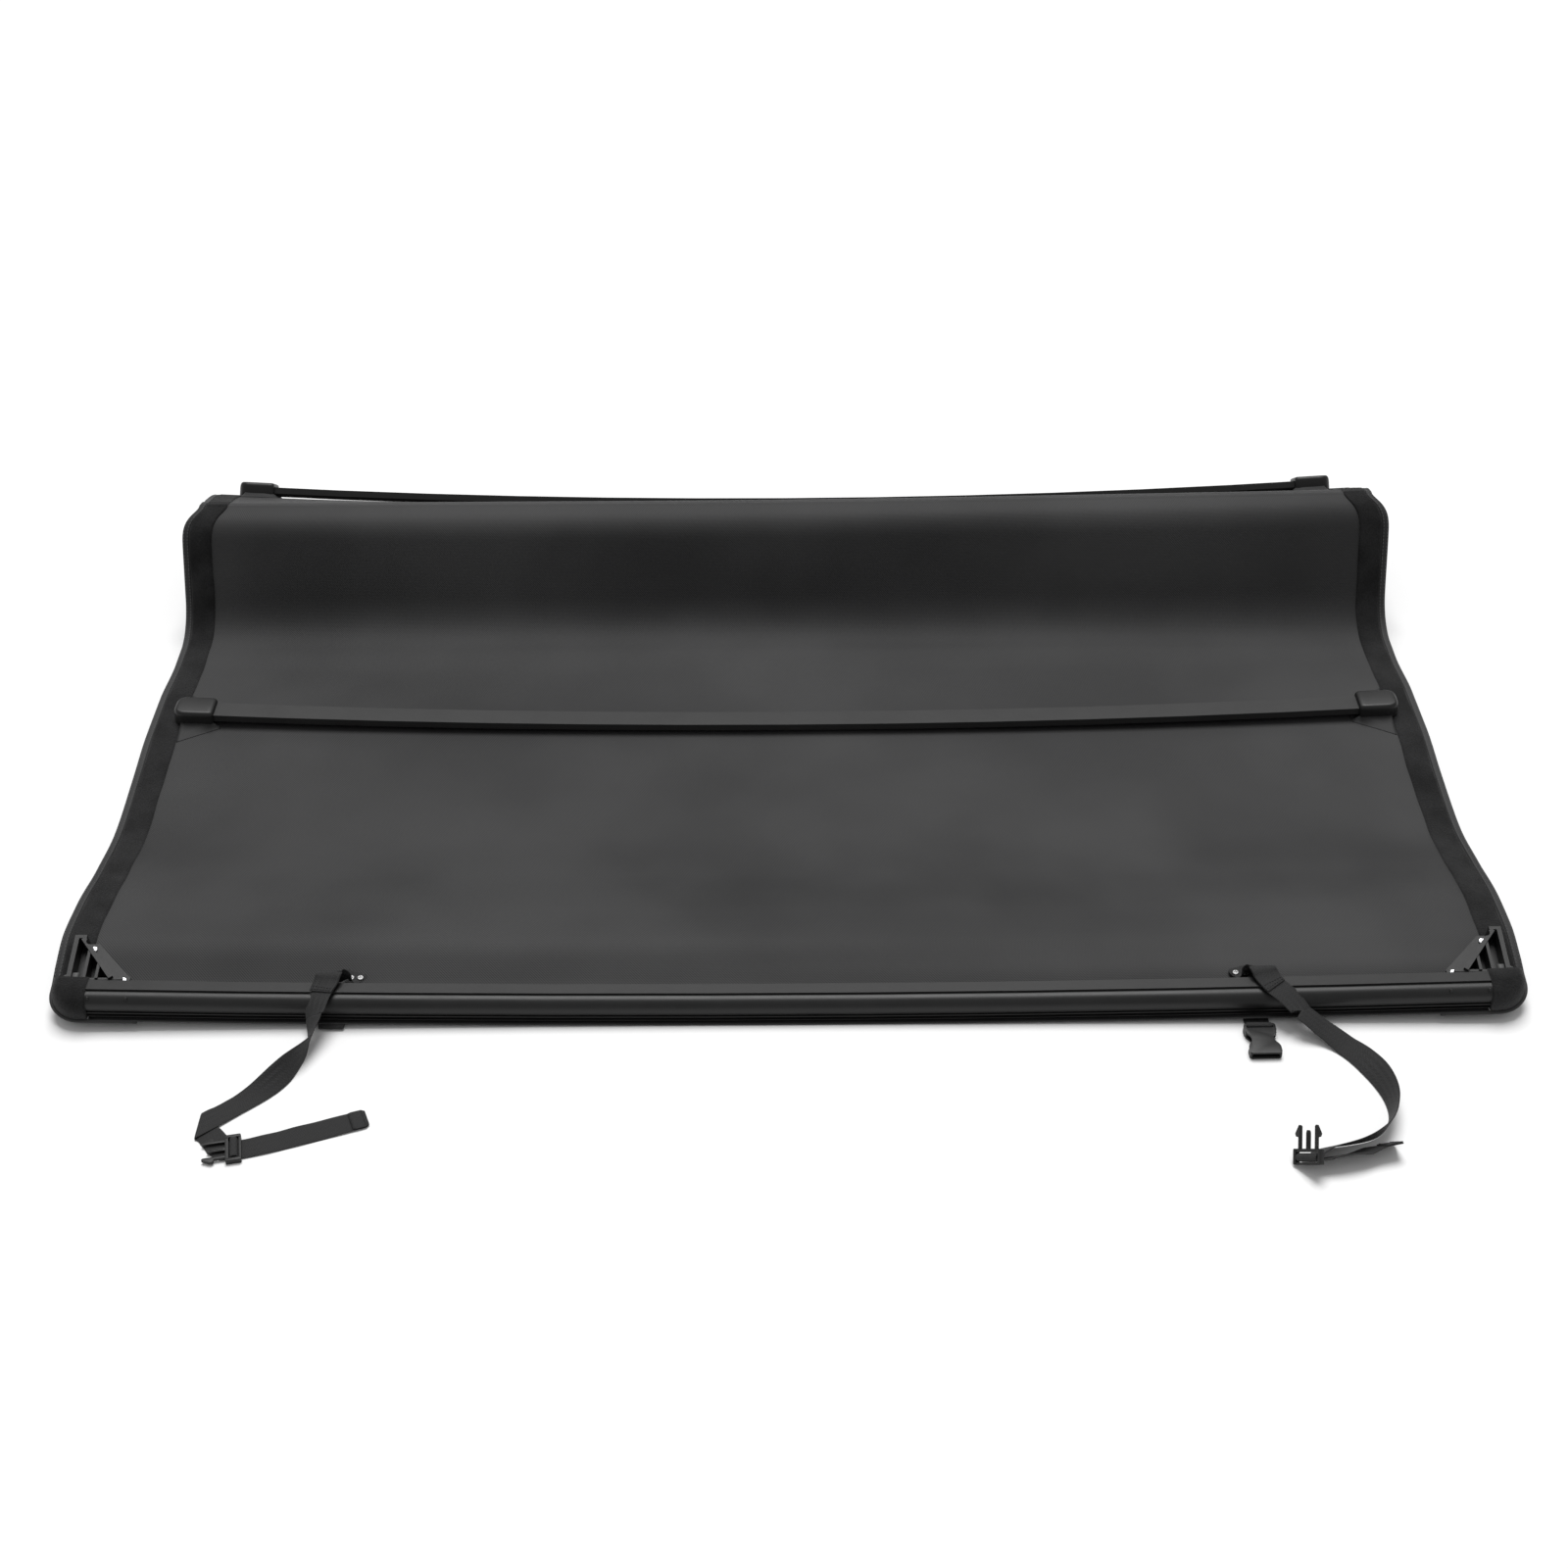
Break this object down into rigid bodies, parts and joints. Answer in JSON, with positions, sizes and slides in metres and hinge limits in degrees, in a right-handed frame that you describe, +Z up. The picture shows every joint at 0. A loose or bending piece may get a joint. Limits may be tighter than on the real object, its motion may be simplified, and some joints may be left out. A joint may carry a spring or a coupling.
{
  "type": "tonneau cover",
  "caption": "Soft roll-up truck bed cover lying underside up: header rail, cross bows, loop strips, strap buckles and a folded tail.",
  "frame": {"origin": "on the floor, in the middle of the folded cover and its latch buckles", "axes": "+X across the cover to its right seen from the header, +Y from the header to the rear fold, +Z up from the floor, with the cover underside up"},
  "size_m": [1.6, 1.3101, 0.1521],
  "materials": {
    "vinyl": "fine twill-backed vinyl, satin",
    "loop_fabric": "napped loop pile",
    "webbing": "woven webbing",
    "rail_paint": "satin black powder coat",
    "plastic": "moulded, fine texture",
    "screw_steel": "bright zinc",
    "seal_rubber": "matt"
  },
  "bodies": {
    "front_panel": {"front_sheet": "vinyl", "front_loop_strip_left": "loop_fabric", "front_loop_strip_right": "loop_fabric", "header_rail": "rail_paint", "header_end_flap_left": "loop_fabric", "header_end_flap_right": "loop_fabric", "corner_bracket_left": "plastic", "corner_bracket_right": "plastic", "bracket_screws": "screw_steel", "header_rivets": "screw_steel", "left_strap_anchor": "webbing", "right_strap_anchor": "webbing", "strap_anchor_screws": "screw_steel", "bow_1_tube": "rail_paint", "bow_1_cap_left": "plastic", "bow_1_cap_right": "plastic", "bow_1_gusset_left": "vinyl", "bow_1_gusset_right": "vinyl", "left_latch_webbing": "webbing", "right_latch_webbing": "webbing", "left_strap": "webbing", "left_strap_tail": "webbing", "right_strap": "webbing", "right_strap_tail": "webbing"},
    "rise_panel": {"rise_sheet": "vinyl", "rise_loop_strip_left": "loop_fabric", "rise_loop_strip_right": "loop_fabric"},
    "top_panel": {"top_sheet": "vinyl", "top_loop_strip_left": "loop_fabric", "top_loop_strip_right": "loop_fabric", "bow_2_tube": "rail_paint", "bow_2_cap_left": "plastic", "bow_2_cap_right": "plastic", "bow_2_gusset_left": "vinyl", "bow_2_gusset_right": "vinyl"},
    "tail_floor_panel": {"tail_floor_sheet": "vinyl", "tail_floor_loop_strip_left": "loop_fabric", "tail_floor_loop_strip_right": "loop_fabric"},
    "tail_lift_panel": {"tail_lift_sheet": "vinyl", "tail_lift_loop_strip_left": "loop_fabric", "tail_lift_loop_strip_right": "loop_fabric"},
    "tail_end_panel": {"tail_end_sheet": "vinyl", "tail_end_loop_strip_left": "loop_fabric", "tail_end_loop_strip_right": "loop_fabric", "tail_bar": "rail_paint", "tail_bar_plug_left": "plastic", "tail_bar_plug_right": "plastic", "tail_seal": "seal_rubber"},
    "left_male": {"left_male_buckle": "plastic"},
    "right_male": {"right_male_buckle": "plastic"},
    "left_female": {"left_female_buckle": "plastic"},
    "right_female": {"right_female_buckle": "plastic"},
    "left_prong_front": {"left_prong_a": "plastic"},
    "left_prong_back": {"left_prong_b": "plastic"},
    "right_prong_low": {"right_prong_a": "plastic"},
    "right_prong_high": {"right_prong_b": "plastic"}
  },
  "joints": [
    {"name": "valley_fold", "type": "hinge", "parent": "front_panel", "child": "rise_panel", "pos_m": [0, 0.24886, 0.02496], "axis": [-1, 0, 0], "range_deg": [0, 65]},
    {"name": "crest_fold", "type": "hinge", "parent": "rise_panel", "child": "top_panel", "pos_m": [0, 0.33582, 0.14807], "axis": [1, 0, 0], "range_deg": [0, 98]},
    {"name": "rear_fold", "type": "hinge", "parent": "top_panel", "child": "tail_floor_panel", "pos_m": [0, 0.55117, 0.01362], "axis": [1, 0, 0], "range_deg": [0, 147]},
    {"name": "tail_lift_fold", "type": "hinge", "parent": "tail_floor_panel", "child": "tail_lift_panel", "pos_m": [0, 0.28884, 0.00671], "axis": [1, 0, 0], "range_deg": [0, 90]},
    {"name": "tail_end_fold", "type": "hinge", "parent": "tail_lift_panel", "child": "tail_end_panel", "pos_m": [0, 0.28884, 0.05293], "axis": [1, 0, 0], "range_deg": [0, 90]},
    {"name": "left_male_pivot", "type": "hinge", "parent": "front_panel", "child": "left_male", "pos_m": [-0.56226, -0.69273, 0.0031], "axis": [-0.1908, 0.9816, 0], "range_deg": [0, 60]},
    {"name": "left_prong_front_flex", "type": "hinge", "parent": "left_male", "child": "left_prong_front", "pos_m": [-0.56889, -0.70522, 0.0031], "axis": [0, 0, -1], "range_deg": [0, 8], "stiffness_Nm_per_rad": 0.4},
    {"name": "left_prong_back_flex", "type": "hinge", "parent": "left_male", "child": "left_prong_back", "pos_m": [-0.57309, -0.68363, 0.0031], "axis": [0, 0, 1], "range_deg": [0, 8], "stiffness_Nm_per_rad": 0.4},
    {"name": "right_male_pivot", "type": "hinge", "parent": "front_panel", "child": "right_male", "pos_m": [0.51699, -0.72657, 0.01614], "axis": [0.5674, -0.5789, 0.5856], "range_deg": [0, 50]},
    {"name": "right_prong_low_flex", "type": "hinge", "parent": "right_male", "child": "right_prong_low", "pos_m": [0.51132, -0.71361, 0.01565], "axis": [0.8209, 0.3417, -0.4575], "range_deg": [0, 8], "stiffness_Nm_per_rad": 0.4},
    {"name": "right_prong_high_flex", "type": "hinge", "parent": "right_male", "child": "right_prong_high", "pos_m": [0.5238, -0.72635, 0.02853], "axis": [-0.8209, -0.3417, 0.4575], "range_deg": [0, 8], "stiffness_Nm_per_rad": 0.4},
    {"name": "left_female_pivot", "type": "hinge", "parent": "front_panel", "child": "left_female", "pos_m": [-0.4915, -0.45745, 0.0046], "axis": [1, 0, 0], "range_deg": [0, 10]},
    {"name": "right_female_pivot", "type": "hinge", "parent": "front_panel", "child": "right_female", "pos_m": [0.50302, -0.52255, 0.0046], "axis": [-0.9998, -0.0175, 0], "range_deg": [0, 80]}
  ],
  "couplings": [
    {"joint": "crest_fold", "follows": "valley_fold", "ratio": 1.5076},
    {"joint": "rear_fold", "follows": "valley_fold", "ratio": 2.2615},
    {"joint": "tail_lift_fold", "follows": "valley_fold", "ratio": 1.3846},
    {"joint": "tail_end_fold", "follows": "valley_fold", "ratio": 1.3846}
  ]
}
